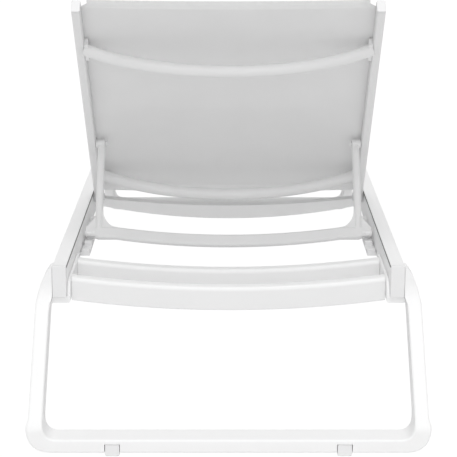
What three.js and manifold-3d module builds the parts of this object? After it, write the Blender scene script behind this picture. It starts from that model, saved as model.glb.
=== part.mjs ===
import * as THREE from 'three';
import { mergeVertices } from 'three/addons/utils/BufferGeometryUtils.js';
import Module from 'manifold-3d';

// Reclining sun lounger. Millimetres, +Z up, head end at -Y, foot end at +Y, standing on Z = 0.
// "o" below is a distance forward of the rear end of the side rails; Y = o + REAR.

const wasm = await Module();
wasm.setup();

const REAR = -794;
const RAIL_LENGTH = 1768;
const RAIL_TOP = 296;
const RAIL_HEIGHT = 58.5;
const RAIL_BOTTOM = RAIL_TOP - RAIL_HEIGHT;
const RAIL_INNER = 295.5;
const RAIL_OUTER = 321;
const RAIL_WALL = 2.5;
const RAIL_HOLLOW_TOP = 284;
const CAP_RIM = 10;
const CAP_PLUG = 14;
const CAP_PLUG_GAP = 0.6;
const GAP = 0.3;

// Sling groove in the inner face of each rail.
const SLING_Z = 293;
const GROOVE_TOP = 294.4;
const GROOVE_BOTTOM = 289.2;
const GROOVE_RADIUS = 3.6;
const GROOVE_X = RAIL_INNER + 6;
const GROOVE_Z = 291.2;
const SPLINE_RADIUS = 3.2;

// Leg loops: a U band that leans outwards between the rail and the floor bar.
const LEG_OUTER = 351.5;
const LEG_INNER = 326;
const LEG_CORNER = 355;
const LEG_LEAN = 180;
const LEAN_TOP = 241;
const LEAN_FOOT = 51;
const BAND_DEPTH = 57;
const BAND_DEPTH_TOP = 34;
const LEG_TOP = 291;
const LEG_TOP_WIDTH = 4.2;
const SHOULDER_FOOT = 228;
const SHOULDER_STEP_TOP = 239;
const SHOULDER_STEP = 1.4;
const POST_HEAD = 214;
const POST_FOOT = 66;
const BEND_INNER_X = 300;
const BEND_OUTER_X = 312;
const BEND_WIDEST_Z = 50;
const FLOOR_BAR_BOTTOM = 6;
const FLOOR_BAR_TOP = 30;
const FRONT_LEG_FACE = 1574;
const FOOT_X = 203.7;
const FOOT_WIDTH = 25.4;
const FOOT_POCKET_TOP = 22;
const POCKET_GAP = 0.8;

// Saddles and crossbars.
const SADDLE_WALL_X = 290;
const SADDLE_TOP = 264;
const SADDLE_LIP_BOTTOM = 224.5;
const SADDLE_START = 8.5;
const SADDLE_END = 222;
const BAR_TOP = 264.5;
const BAR_HEIGHT = 44;
const BAR_DEPTH = 31;
const BAR_BOW = 19.5;
const OUTER_BAR_O = 39;
const INNER_BAR_O = 163;
const SEAT_BAR_O = 781;
const FRONT_BAR_SETBACK = 70;
const SEAT_BAR_TOP = 247.6;
const SEAT_BAR_HEIGHT = 18.9;
const SEAT_BAR_BOW_TOP = 17.8;
const SEAT_BAR_BOW_BOTTOM = 30;

// Backrest, measured along the rail (s) from the hinge and across it (t, to the rear).
const HINGE_O = 644.5;
const HINGE_Z = 280.6;
const RECLINE = THREE.MathUtils.degToRad(45.5);
const BACK_INNER = 276;
const BACK_OUTER = 292.5;
const BACK_DEPTH = 27.5;
const BACK_LENGTH = 651.5;
const BACK_CAP = 3.5;
const HEAD_PROUD = 6;
const BACK_GROOVE_T = -9.75;
const BACK_GROOVE_X = 281.2;
const BACK_GROOVE_RADIUS = 2.5;
const HINGE_PIN = 5;
const PIVOT_S = 213;
const PIVOT_T = 6;
const PIVOT_PIN = 4;
const UPPER_BAR_S = 535;
const LOWER_BAR_S = 106;
const BACK_BAR_RADIUS = 11.75;
const BACK_BAR_BOW = 52;
const BACK_BAR_T = 10;
const FLANGE_LENGTH = 48;
const FLANGE_DROP = 7;
const FLANGE_THICKNESS = 7.5;
const FLANGE_REAR_T = 13.5;
const FLANGE_FRONT_T = 6;

// Prop.
const PROP_LENGTH = 204.2;
const PROP_DROP = THREE.MathUtils.degToRad(52.3);
const PROP_LEG_X = 264;
const PROP_LEG = 15.4;
const PROP_BAR = 25;
const PROP_BOW = 16.8;
const PROP_FLAT_END = 228;
const PROP_PLATE = 9;
const PROP_PLATE_FOOT = 7;
const PROP_END_X = 291.5;
const PROP_PIN = 6;
const PROP_HEAD_RADIUS = 9;

// Racks: block teeth on a base plate. Those under the way of the prop's end pins are low.
const RACK_INNER = 276.5;
const RACK_TOOTH_OUTER = 291;
const RACK_START = 289;
const RACK_BOTTOM = 240;
const RACK_FLOOR = 246.5;
const RACK_TOP = 252.5;
const RACK_RISE = 2.5;
const RACK_TALL_TOP = 265.5;
const RACK_PITCH = 56;
const RACK_TEETH = 5;
const RACK_LOW_TEETH = 3;
const RACK_TOOTH = 15;

const SLING = 1.2;

const group = new THREE.Group();

function add(name, geometry, colour = 0xf2f2f0, roughness = 0.5) {
  const material = new THREE.MeshStandardMaterial({ color: colour, roughness });
  const mesh = new THREE.Mesh(geometry, material);
  mesh.name = name;
  group.add(mesh);
}

function toSolid(geometry) {
  const plain = geometry.clone();
  plain.deleteAttribute('normal');
  plain.deleteAttribute('uv');
  const merged = mergeVertices(plain, 1e-4);
  return new wasm.Manifold(new wasm.Mesh({
    numProp: 3,
    vertProperties: new Float32Array(merged.attributes.position.array),
    triVerts: new Uint32Array(merged.index.array),
  }));
}

function fromSolid(solid) {
  const mesh = solid.getMesh();
  const geometry = new THREE.BufferGeometry();
  geometry.setAttribute('position', new THREE.BufferAttribute(new Float32Array(mesh.vertProperties), 3));
  geometry.setIndex(new THREE.BufferAttribute(new Uint32Array(mesh.triVerts), 1));
  geometry.computeVertexNormals();
  return geometry;
}

function joined(geometries) {
  return geometries.map(toSolid).reduce((a, b) => a.add(b));
}

function without(solid, tools) {
  return tools.map(toSolid).reduce((a, b) => a.subtract(b), solid);
}

// A profile drawn in X and Z, swept along +Y from y0 to y1.
function sweepY(shape, y0, y1, bevel = 0, arcSegments = 3) {
  const geometry = new THREE.ExtrudeGeometry(shape, {
    depth: y1 - y0 - 2 * bevel,
    bevelEnabled: bevel > 0,
    bevelThickness: bevel,
    bevelSize: bevel,
    bevelOffset: -bevel,
    bevelSegments: 1,
    curveSegments: arcSegments,
  });
  const basis = new THREE.Matrix4().makeBasis(
    new THREE.Vector3(1, 0, 0),
    new THREE.Vector3(0, 0, 1),
    new THREE.Vector3(0, -1, 0),
  );
  geometry.applyMatrix4(basis);
  geometry.translate(0, y1 - bevel, 0);
  return geometry;
}

// A profile drawn in Y and Z, swept along +X from x0 to x1.
function sweepX(shape, x0, x1, bevel = 0, arcSegments = 3) {
  const geometry = new THREE.ExtrudeGeometry(shape, {
    depth: x1 - x0 - 2 * bevel,
    bevelEnabled: bevel > 0,
    bevelThickness: bevel,
    bevelSize: bevel,
    bevelOffset: -bevel,
    bevelSegments: 1,
    curveSegments: arcSegments,
  });
  const basis = new THREE.Matrix4().makeBasis(
    new THREE.Vector3(0, 1, 0),
    new THREE.Vector3(0, 0, 1),
    new THREE.Vector3(1, 0, 0),
  );
  geometry.applyMatrix4(basis);
  geometry.translate(x0 + bevel, 0, 0);
  return geometry;
}

function block(x0, x1, y0, y1, z0, z1) {
  const geometry = new THREE.BoxGeometry(x1 - x0, y1 - y0, z1 - z0);
  geometry.translate((x0 + x1) / 2, (y0 + y1) / 2, (z0 + z1) / 2);
  return geometry;
}

function roundedBlock(x0, x1, y0, y1, z0, z1, radius) {
  return sweepY(roundedRect(x0, x1, z0, z1, radius), y0, y1, radius * 0.6);
}

function roundedRect(a0, a1, b0, b1, radius, path = new THREE.Shape()) {
  path.moveTo(a0 + radius, b0);
  path.lineTo(a1 - radius, b0);
  path.absarc(a1 - radius, b0 + radius, radius, -Math.PI / 2, 0, false);
  path.lineTo(a1, b1 - radius);
  path.absarc(a1 - radius, b1 - radius, radius, 0, Math.PI / 2, false);
  path.lineTo(a0 + radius, b1);
  path.absarc(a0 + radius, b1 - radius, radius, Math.PI / 2, Math.PI, false);
  path.lineTo(a0, b0 + radius);
  path.absarc(a0 + radius, b0 + radius, radius, Math.PI, 1.5 * Math.PI, false);
  return path;
}

function rodX(radius, x0, x1, y, z, segments = 20) {
  const geometry = new THREE.CylinderGeometry(radius, radius, x1 - x0, segments);
  geometry.rotateZ(Math.PI / 2);
  geometry.translate((x0 + x1) / 2, y, z);
  return geometry;
}

function rodY(radius, y0, y1, x, z, segments = 20) {
  const geometry = new THREE.CylinderGeometry(radius, radius, y1 - y0, segments);
  geometry.translate(x, (y0 + y1) / 2, z);
  return geometry;
}

// Mirrors a right-hand (+X) piece to the left, keeping its faces outward.
function mirrored(geometry) {
  const copy = geometry.index ? geometry.toNonIndexed() : geometry.clone();
  copy.scale(-1, 1, 1);
  for (const name of Object.keys(copy.attributes)) {
    const attribute = copy.attributes[name];
    const width = attribute.itemSize;
    for (let triangle = 0; triangle < attribute.count; triangle += 3) {
      for (let k = 0; k < width; k += 1) {
        const second = attribute.array[(triangle + 1) * width + k];
        attribute.array[(triangle + 1) * width + k] = attribute.array[(triangle + 2) * width + k];
        attribute.array[(triangle + 2) * width + k] = second;
      }
    }
  }
  copy.computeVertexNormals();
  return copy;
}

function addPair(stem, geometry, colour, roughness) {
  add(`${stem}_right`, geometry, colour, roughness);
  add(`${stem}_left`, mirrored(geometry), colour, roughness);
}

function turned(geometry) {
  const copy = geometry.clone();
  copy.rotateZ(Math.PI);
  return copy;
}

// ---- Side rails: hollow box section with a sling groove, closed by end caps -------------

function railSection() {
  const shape = new THREE.Shape();
  const corner = 2;
  const lip = 1.2;
  const startAngle = Math.PI - Math.asin((GROOVE_TOP - GROOVE_Z) / GROOVE_RADIUS);
  const endAngle = -Math.PI - Math.asin((GROOVE_BOTTOM - GROOVE_Z) / GROOVE_RADIUS);
  shape.moveTo(RAIL_INNER + corner, RAIL_BOTTOM);
  shape.lineTo(RAIL_OUTER - corner, RAIL_BOTTOM);
  shape.absarc(RAIL_OUTER - corner, RAIL_BOTTOM + corner, corner, -Math.PI / 2, 0, false);
  shape.lineTo(RAIL_OUTER, RAIL_TOP - corner);
  shape.absarc(RAIL_OUTER - corner, RAIL_TOP - corner, corner, 0, Math.PI / 2, false);
  shape.lineTo(RAIL_INNER + lip, RAIL_TOP);
  shape.absarc(RAIL_INNER + lip, RAIL_TOP - lip, lip, Math.PI / 2, Math.PI, false);
  shape.lineTo(RAIL_INNER, GROOVE_TOP);
  shape.absarc(GROOVE_X, GROOVE_Z, GROOVE_RADIUS, startAngle, endAngle, true);
  shape.lineTo(RAIL_INNER, GROOVE_BOTTOM);
  shape.lineTo(RAIL_INNER, RAIL_BOTTOM + corner);
  shape.absarc(RAIL_INNER + corner, RAIL_BOTTOM + corner, corner, Math.PI, 1.5 * Math.PI, false);
  shape.holes.push(roundedRect(
    RAIL_INNER + RAIL_WALL,
    RAIL_OUTER - RAIL_WALL,
    RAIL_BOTTOM + RAIL_WALL,
    RAIL_HOLLOW_TOP,
    corner,
    new THREE.Path(),
  ));
  return shape;
}

addPair('side_rail', sweepY(
  railSection(),
  REAR + CAP_RIM + GAP,
  REAR + RAIL_LENGTH - CAP_RIM - GAP,
));

function endCap() {
  const rim = sweepY(
    roundedRect(RAIL_INNER, RAIL_OUTER, RAIL_BOTTOM, RAIL_TOP, 2),
    REAR,
    REAR + CAP_RIM,
    1.2,
  );
  const plug = block(
    RAIL_INNER + RAIL_WALL + CAP_PLUG_GAP,
    RAIL_OUTER - RAIL_WALL - CAP_PLUG_GAP,
    REAR + CAP_RIM / 2,
    REAR + CAP_RIM + CAP_PLUG,
    RAIL_BOTTOM + RAIL_WALL + CAP_PLUG_GAP,
    RAIL_HOLLOW_TOP - CAP_PLUG_GAP,
  );
  return fromSolid(joined([rim, plug]));
}

const rearCap = endCap();
const frontCap = turned(rearCap);
frontCap.translate(0, 2 * REAR + RAIL_LENGTH, 0);
addPair('rail_end_cap_rear', rearCap);
add('rail_end_cap_front_left', frontCap);
add('rail_end_cap_front_right', mirrored(frontCap));

// ---- Leg loops -----------------------------------------------------------------------

// The right half runs from the middle of the floor bar's top, up inside the post and down outside it.
function legOutline() {
  const path = new THREE.Path();
  const inner = RAIL_OUTER + GAP;
  const postSteps = 10;
  const pocket = FOOT_WIDTH / 2 + POCKET_GAP;

  function post(x, z0, z1) {
    for (let i = 1; i <= postSteps; i += 1) {
      path.lineTo(x, z0 + (z1 - z0) * i / postSteps);
    }
  }

  path.moveTo(0, FLOOR_BAR_TOP);
  path.lineTo(BEND_INNER_X, FLOOR_BAR_TOP);
  path.bezierCurveTo(320, FLOOR_BAR_TOP, LEG_INNER, 42, LEG_INNER, POST_FOOT);
  post(LEG_INNER, POST_FOOT, POST_HEAD);
  path.lineTo(LEG_INNER - SHOULDER_STEP, SHOULDER_FOOT);
  path.quadraticCurveTo(inner, (SHOULDER_FOOT + SHOULDER_STEP_TOP) / 2, inner, SHOULDER_STEP_TOP);
  path.lineTo(inner, LEG_TOP);
  path.lineTo(inner + LEG_TOP_WIDTH, LEG_TOP);
  path.bezierCurveTo(336, 281, 345.5, 259, LEG_OUTER, SHOULDER_FOOT);
  path.lineTo(LEG_OUTER, POST_HEAD);
  post(LEG_OUTER, POST_HEAD, POST_FOOT);
  path.bezierCurveTo(LEG_OUTER, 61, LEG_CORNER, 58, LEG_CORNER, BEND_WIDEST_Z);
  path.bezierCurveTo(LEG_CORNER, 22, 340, FLOOR_BAR_BOTTOM, BEND_OUTER_X, FLOOR_BAR_BOTTOM);
  path.lineTo(FOOT_X + pocket, FLOOR_BAR_BOTTOM);
  path.lineTo(FOOT_X + pocket, FOOT_POCKET_TOP);
  path.lineTo(FOOT_X - pocket, FOOT_POCKET_TOP);
  path.lineTo(FOOT_X - pocket, FLOOR_BAR_BOTTOM);
  path.lineTo(0, FLOOR_BAR_BOTTOM);
  const right = path.getPoints(8);
  const left = right.slice(1, -1).reverse().map((point) => new THREE.Vector2(-point.x, point.y));
  return new THREE.Shape([...right, ...left]);
}

// How far the band stands behind the rail end at height z.
function lean(z) {
  const t = THREE.MathUtils.clamp((LEAN_TOP - z) / (LEAN_TOP - LEAN_FOOT), 0, 1);
  return LEG_LEAN * t;
}

function bandDepth(z) {
  const t = THREE.MathUtils.clamp((z - SHOULDER_FOOT) / (RAIL_TOP - SHOULDER_FOOT), 0, 1);
  return BAND_DEPTH + (BAND_DEPTH_TOP - BAND_DEPTH) * t;
}

function legLoop() {
  const geometry = sweepY(legOutline(), 0, BAND_DEPTH, 1.5, 8);
  const position = geometry.attributes.position;
  for (let i = 0; i < position.count; i += 1) {
    const z = position.getZ(i);
    position.setY(i, position.getY(i) / BAND_DEPTH * bandDepth(z) - lean(z));
  }
  geometry.computeVertexNormals();
  return geometry;
}

const rearLeg = legLoop();
const frontLeg = turned(rearLeg);
rearLeg.translate(0, REAR, 0);
frontLeg.translate(0, REAR + FRONT_LEG_FACE, 0);
add('leg_frame_rear', rearLeg);
add('leg_frame_front', frontLeg);

function glideFoot(x) {
  const shape = new THREE.Shape();
  const half = FOOT_WIDTH / 2;
  const corner = 3.5;
  shape.moveTo(x - half + corner, 0);
  shape.lineTo(x + half - corner, 0);
  shape.quadraticCurveTo(x + half, 0, x + half, corner);
  shape.lineTo(x + half, FOOT_POCKET_TOP - POCKET_GAP);
  shape.lineTo(x - half, FOOT_POCKET_TOP - POCKET_GAP);
  shape.lineTo(x - half, corner);
  shape.quadraticCurveTo(x - half, 0, x - half + corner, 0);
  return sweepY(shape, REAR - LEG_LEAN + 0.5, REAR - LEG_LEAN + BAND_DEPTH - 0.5, 1.5);
}

const rearFoot = glideFoot(FOOT_X);
const frontFoot = turned(rearFoot);
frontFoot.translate(0, 2 * REAR + FRONT_LEG_FACE, 0);
addPair('glide_foot_rear', rearFoot, 0xe8e8e6, 0.6);
add('glide_foot_front_left', frontFoot, 0xe8e8e6, 0.6);
add('glide_foot_front_right', mirrored(frontFoot), 0xe8e8e6, 0.6);

// ---- Saddles: a lip under the rail and a wall against its inner face -------------------

function saddle() {
  const y0 = REAR + SADDLE_START;
  const y1 = REAR + SADDLE_END;
  const lip = sweepY(
    roundedRect(SADDLE_WALL_X, RAIL_OUTER - 0.1, SADDLE_LIP_BOTTOM, RAIL_BOTTOM - GAP, 1.5),
    y0,
    y1,
  );
  const wallBottom = SADDLE_LIP_BOTTOM + 3;
  const frontCorner = 12;
  const rearSlope = 32;
  const side = new THREE.Shape();
  side.moveTo(y0, wallBottom);
  side.lineTo(y1, wallBottom);
  side.lineTo(y1, SADDLE_TOP - frontCorner);
  side.quadraticCurveTo(y1, SADDLE_TOP, y1 - frontCorner, SADDLE_TOP);
  side.lineTo(y0 + rearSlope, SADDLE_TOP);
  side.quadraticCurveTo(y0, SADDLE_TOP, y0, wallBottom);
  const wall = sweepX(side, SADDLE_WALL_X, RAIL_INNER - GAP, 0, 6);
  return fromSolid(joined([lip, wall]));
}

const rearSaddle = saddle();
const frontSaddle = turned(rearSaddle);
frontSaddle.translate(0, 2 * REAR + FRONT_LEG_FACE, 0);
addPair('rail_saddle_rear', rearSaddle);
add('rail_saddle_front_left', frontSaddle);
add('rail_saddle_front_right', mirrored(frontSaddle));

// ---- Crossbars: bowed box bars ---------------------------------------------------------

// A bar between x = -halfLength and halfLength whose top and bottom edges dip by their own bows.
function bowedBar(o, halfLength, top, height, bowTop, bowBottom) {
  const shape = new THREE.Shape();
  const bottom = top - height;
  shape.moveTo(-halfLength, bottom);
  shape.quadraticCurveTo(0, bottom - 2 * bowBottom, halfLength, bottom);
  shape.lineTo(halfLength, top);
  shape.quadraticCurveTo(0, top - 2 * bowTop, -halfLength, top);
  shape.lineTo(-halfLength, bottom);
  return sweepY(shape, REAR + o, REAR + o + BAR_DEPTH, 4, 16);
}

function crossbar(o, halfLength) {
  return bowedBar(o, halfLength, BAR_TOP, BAR_HEIGHT, BAR_BOW, BAR_BOW);
}

const saddleSpan = SADDLE_WALL_X - GAP;
const railSpan = RAIL_INNER - GAP;
add('rear_outer_crossbar', crossbar(OUTER_BAR_O, saddleSpan));
add('rear_inner_crossbar', crossbar(INNER_BAR_O, saddleSpan));
add('seat_crossbar', bowedBar(
  SEAT_BAR_O,
  railSpan,
  SEAT_BAR_TOP,
  SEAT_BAR_HEIGHT,
  SEAT_BAR_BOW_TOP,
  SEAT_BAR_BOW_BOTTOM,
));
add('front_inner_crossbar', crossbar(FRONT_LEG_FACE - FRONT_BAR_SETBACK - BAR_DEPTH, saddleSpan));
add('front_outer_crossbar', crossbar(RAIL_LENGTH - OUTER_BAR_O - BAR_DEPTH, railSpan));

// ---- Prop racks ------------------------------------------------------------------------

function rack() {
  const y0 = REAR + RACK_START;
  const y1 = y0 + (RACK_TEETH - 1) * RACK_PITCH + RACK_TOOTH;
  const pieces = [block(RACK_INNER, RAIL_INNER - GAP, y0, y1, RACK_BOTTOM, RACK_FLOOR)];
  for (let i = 0; i < RACK_TEETH; i += 1) {
    const start = y0 + i * RACK_PITCH;
    const top = i < RACK_LOW_TEETH ? RACK_TOP + i * RACK_RISE : RACK_TALL_TOP;
    const side = roundedRect(start, start + RACK_TOOTH, RACK_BOTTOM + 2, top, 2);
    pieces.push(sweepX(side, RACK_INNER, RACK_TOOTH_OUTER));
  }
  return fromSolid(joined(pieces));
}

addPair('prop_rack', rack());

// ---- Seat sling and the splines that hold its edges ------------------------------------

const seatStart = REAR + 664;
const seatEnd = REAR + RAIL_LENGTH - CAP_RIM - 6;
const seatEdge = GROOVE_X - SPLINE_RADIUS - GAP;
add('seat_sling', block(
  -seatEdge,
  seatEdge,
  seatStart,
  seatEnd,
  SLING_Z - SLING / 2,
  SLING_Z + SLING / 2,
), 0xdcdcda, 0.8);
addPair('seat_spline', rodY(SPLINE_RADIUS, seatStart, seatEnd, GROOVE_X, GROOVE_Z), 0xd0d0ce, 0.7);

// ---- Hinge: a headed pin through the backrest rail and a washer against the side rail ---

function headedPin(radius, headRadius, headHeight, x0, x1, o, z) {
  const points = [
    new THREE.Vector2(0, x0),
    new THREE.Vector2(headRadius - 1, x0),
    new THREE.Vector2(headRadius, x0 + 1),
    new THREE.Vector2(headRadius, x0 + headHeight),
    new THREE.Vector2(radius, x0 + headHeight),
    new THREE.Vector2(radius, x1),
    new THREE.Vector2(0, x1),
  ];
  const geometry = new THREE.LatheGeometry(points, 20);
  geometry.rotateZ(-Math.PI / 2);
  geometry.translate(0, REAR + o, z);
  return geometry;
}

addPair('hinge_pin', headedPin(
  HINGE_PIN, 8.5, 3.5, BACK_INNER - 3.8, RAIL_INNER - GAP, HINGE_O, HINGE_Z,
), 0xb8bcc0, 0.35);

function washer() {
  const shape = new THREE.Shape();
  shape.absarc(REAR + HINGE_O, HINGE_Z, 11, 0, 2 * Math.PI, false);
  const hole = new THREE.Path();
  hole.absarc(REAR + HINGE_O, HINGE_Z, HINGE_PIN + GAP, 0, 2 * Math.PI, true);
  shape.holes.push(hole);
  return sweepX(shape, BACK_OUTER + GAP, RAIL_INNER - GAP, 0, 10);
}

addPair('hinge_washer', washer(), 0xe8e8e6, 0.6);

// ---- Backrest, drawn flat (rails running to -Y from the hinge), then raised -------------

function raise(geometry) {
  geometry.translate(0, -(REAR + HINGE_O), -HINGE_Z);
  geometry.rotateX(-RECLINE);
  geometry.translate(0, REAR + HINGE_O, HINGE_Z);
  return geometry;
}

const hingeY = REAR + HINGE_O;

function backSection() {
  const shape = new THREE.Shape();
  const top = HINGE_Z + BACK_DEPTH / 2;
  const bottom = HINGE_Z - BACK_DEPTH / 2;
  const grooveZ = HINGE_Z - BACK_GROOVE_T;
  const half = 1;
  const corner = 2.5;
  const mouthAngle = Math.asin(half / BACK_GROOVE_RADIUS);
  shape.moveTo(BACK_INNER + corner, bottom);
  shape.lineTo(BACK_OUTER - corner, bottom);
  shape.absarc(BACK_OUTER - corner, bottom + corner, corner, -Math.PI / 2, 0, false);
  shape.lineTo(BACK_OUTER, top - corner);
  shape.absarc(BACK_OUTER - corner, top - corner, corner, 0, Math.PI / 2, false);
  shape.lineTo(BACK_INNER + 1, top);
  shape.lineTo(BACK_INNER, top - 1);
  shape.lineTo(BACK_INNER, grooveZ + half);
  shape.absarc(BACK_GROOVE_X, grooveZ, BACK_GROOVE_RADIUS, Math.PI - mouthAngle, mouthAngle - Math.PI, true);
  shape.lineTo(BACK_INNER, grooveZ - half);
  shape.lineTo(BACK_INNER, bottom + corner);
  shape.absarc(BACK_INNER + corner, bottom + corner, corner, Math.PI, 1.5 * Math.PI, false);
  return shape;
}

function backRail() {
  const bar = sweepY(backSection(), hingeY - BACK_LENGTH, hingeY + BACK_DEPTH);
  const side = new THREE.Shape();
  const half = BACK_DEPTH / 2 + 0.5;
  side.moveTo(hingeY - BACK_LENGTH - 5, HINGE_Z - half);
  side.lineTo(hingeY, HINGE_Z - half);
  side.absarc(hingeY, HINGE_Z, half, -Math.PI / 2, Math.PI / 2, false);
  side.lineTo(hingeY - BACK_LENGTH - 5, HINGE_Z + half);
  const rounded = toSolid(bar).intersect(toSolid(sweepX(side, BACK_INNER - 5, BACK_OUTER + 5, 0, 8)));
  return fromSolid(without(rounded, [
    rodX(HINGE_PIN + GAP, BACK_INNER - 5, BACK_OUTER + 5, hingeY, HINGE_Z),
    rodX(PIVOT_PIN + GAP, BACK_INNER - 5, BACK_OUTER + 5, hingeY - PIVOT_S, HINGE_Z - PIVOT_T, 24),
  ]));
}

addPair('backrest_rail', raise(backRail()));

addPair('backrest_rail_cap', raise(roundedBlock(
  BACK_INNER,
  BACK_OUTER,
  hingeY - BACK_LENGTH - BACK_CAP - GAP,
  hingeY - BACK_LENGTH - GAP,
  HINGE_Z - BACK_DEPTH / 2,
  HINGE_Z + BACK_DEPTH / 2,
  2.5,
)));

function backBar(s) {
  const y = hingeY - s;
  const endX = BACK_INNER - 4;
  const z = HINGE_Z - BACK_BAR_T;
  const controlZ = z - BACK_BAR_BOW * 4 / 3;
  const path = new THREE.CubicBezierCurve3(
    new THREE.Vector3(-endX, y, z),
    new THREE.Vector3(-endX / 2, y, controlZ),
    new THREE.Vector3(endX / 2, y, controlZ),
    new THREE.Vector3(endX, y, z),
  );
  const circle = new THREE.Shape();
  circle.absarc(0, 0, BACK_BAR_RADIUS, 0, 2 * Math.PI, false);
  const tube = new THREE.ExtrudeGeometry(circle, {
    steps: 24,
    extrudePath: path,
    curveSegments: 8,
    bevelEnabled: false,
  });
  const plateY = y + FLANGE_DROP;
  const halfPlate = FLANGE_LENGTH / 2;
  const plateBottom = HINGE_Z - FLANGE_REAR_T;
  const plateTop = HINGE_Z + FLANGE_FRONT_T;
  const plate = roundedRect(plateY - halfPlate, plateY + halfPlate, plateBottom, plateTop, 3);
  const flange = sweepX(plate, BACK_INNER - FLANGE_THICKNESS, BACK_INNER - GAP);
  const trim = block(-(BACK_INNER - GAP), BACK_INNER - GAP, y - 60, y + 60, z - 100, z + 60);
  return fromSolid(toSolid(tube).intersect(toSolid(trim)).add(joined([flange, mirrored(flange)])));
}

add('backrest_upper_bar', raise(backBar(UPPER_BAR_S)));
add('backrest_lower_bar', raise(backBar(LOWER_BAR_S)));

const BACK_SPLINE_RADIUS = 2.2;
const backSlingEdge = BACK_GROOVE_X - BACK_SPLINE_RADIUS - GAP;
const backSlingFoot = hingeY - 14;
const backSlingHead = hingeY - BACK_LENGTH;

// The sling's head edge is narrower than the rest, and stands a little past the rail caps.
function backSling() {
  const headHalf = BACK_INNER - 12;
  const headEdge = backSlingHead - BACK_CAP - HEAD_PROUD;
  const notch = 5;
  const outline = new THREE.Shape();
  outline.moveTo(-backSlingEdge, backSlingFoot);
  outline.lineTo(-backSlingEdge, backSlingHead + notch);
  outline.lineTo(-headHalf, backSlingHead + notch);
  outline.lineTo(-headHalf, headEdge);
  outline.lineTo(headHalf, headEdge);
  outline.lineTo(headHalf, backSlingHead + notch);
  outline.lineTo(backSlingEdge, backSlingHead + notch);
  outline.lineTo(backSlingEdge, backSlingFoot);
  const geometry = new THREE.ExtrudeGeometry(outline, { depth: SLING, bevelEnabled: false });
  geometry.translate(0, 0, HINGE_Z - BACK_GROOVE_T - SLING / 2);
  return geometry;
}

add('backrest_sling', raise(backSling()), 0xdcdcda, 0.8);
addPair('backrest_spline', raise(rodY(
  BACK_SPLINE_RADIUS,
  backSlingHead + 2,
  backSlingFoot,
  BACK_GROOVE_X,
  HINGE_Z - BACK_GROOVE_T,
  16,
)), 0xd0d0ce, 0.7);

addPair('prop_pivot_pin', raise(headedPin(
  PIVOT_PIN, 6.5, 3, PROP_LEG_X - 12, BACK_OUTER, HINGE_O - PIVOT_S, HINGE_Z - PIVOT_T,
)), 0xb8bcc0, 0.35);

// ---- Prop: a U frame hung from the backrest rails, its end pins standing in the racks ---

const along = new THREE.Vector2(-Math.cos(RECLINE), Math.sin(RECLINE));
const pivot = new THREE.Vector2(hingeY, HINGE_Z)
  .addScaledVector(along, PIVOT_S)
  .addScaledVector(new THREE.Vector2(-Math.sin(RECLINE), -Math.cos(RECLINE)), PIVOT_T);

// Drawn hanging straight down from the origin in X and Z, then swung to the rest angle.
function propFrame() {
  const half = PROP_LEG / 2;
  const outer = PROP_LEG_X + half;
  const inner = PROP_LEG_X - half;
  const barTop = -PROP_LENGTH + PROP_BAR / 2;
  const barBottom = -PROP_LENGTH - PROP_BAR / 2;
  const corner = 8;
  const shape = new THREE.Shape();
  shape.moveTo(inner, 0);
  shape.lineTo(inner, barTop);
  shape.lineTo(PROP_FLAT_END, barTop);
  shape.quadraticCurveTo(0, barTop - 2 * PROP_BOW, -PROP_FLAT_END, barTop);
  shape.lineTo(-inner, barTop);
  shape.lineTo(-inner, 0);
  shape.lineTo(-outer, 0);
  shape.lineTo(-outer, barBottom + corner);
  shape.quadraticCurveTo(-outer, barBottom, -outer + corner, barBottom);
  shape.lineTo(-PROP_FLAT_END, barBottom);
  shape.quadraticCurveTo(0, barBottom - 2 * PROP_BOW, PROP_FLAT_END, barBottom);
  shape.lineTo(outer - corner, barBottom);
  shape.quadraticCurveTo(outer, barBottom, outer, barBottom + corner);
  shape.lineTo(outer, 0);
  const frame = sweepY(shape, -half, half, 3.5, 10);

  // Flat plates fill the corners on both sides of the leg; the outer one carries the end pin.
  const root = 4;
  const innerHeight = 42;
  const innerReach = 30;
  const innerPlate = new THREE.Shape();
  innerPlate.moveTo(inner + root, barTop + innerHeight);
  innerPlate.lineTo(inner, barTop + innerHeight);
  innerPlate.bezierCurveTo(inner, barTop + 18, inner - 14, barTop, inner - innerReach, barTop);
  innerPlate.lineTo(inner - innerReach, barTop - root);
  innerPlate.lineTo(inner + root, barTop - root);
  const outerHeight = 21;
  const plateEnd = PROP_END_X - 2;
  const outerPlate = new THREE.Shape();
  outerPlate.moveTo(outer - root, barTop + outerHeight);
  outerPlate.lineTo(outer, barTop + outerHeight);
  outerPlate.lineTo(plateEnd, barTop);
  outerPlate.lineTo(plateEnd, -PROP_LENGTH - PROP_PLATE_FOOT);
  outerPlate.lineTo(outer - root, -PROP_LENGTH - PROP_PLATE_FOOT);
  const plates = [innerPlate, outerPlate].map((plate) => sweepY(plate, -PROP_PLATE / 2, PROP_PLATE / 2, 0, 8));

  const head = rodX(PROP_HEAD_RADIUS, PROP_LEG_X - half, BACK_INNER - 0.5, 0, 0, 24);
  const pin = rodX(PROP_PIN, PROP_LEG_X, PROP_END_X, 0, -PROP_LENGTH, 20);
  const rightEnd = [head, pin, ...plates];
  const bore = rodX(PIVOT_PIN + GAP, PROP_LEG_X - 20, PROP_LEG_X + 20, 0, 0, 24);
  const solid = joined([frame, ...rightEnd, ...rightEnd.map(mirrored)]);
  const geometry = fromSolid(without(solid, [bore, mirrored(bore)]));
  geometry.rotateX(-(Math.PI / 2 - PROP_DROP));
  geometry.translate(0, pivot.x, pivot.y);
  return geometry;
}

add('prop_frame', propFrame());

export default group;
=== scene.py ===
import math

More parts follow.
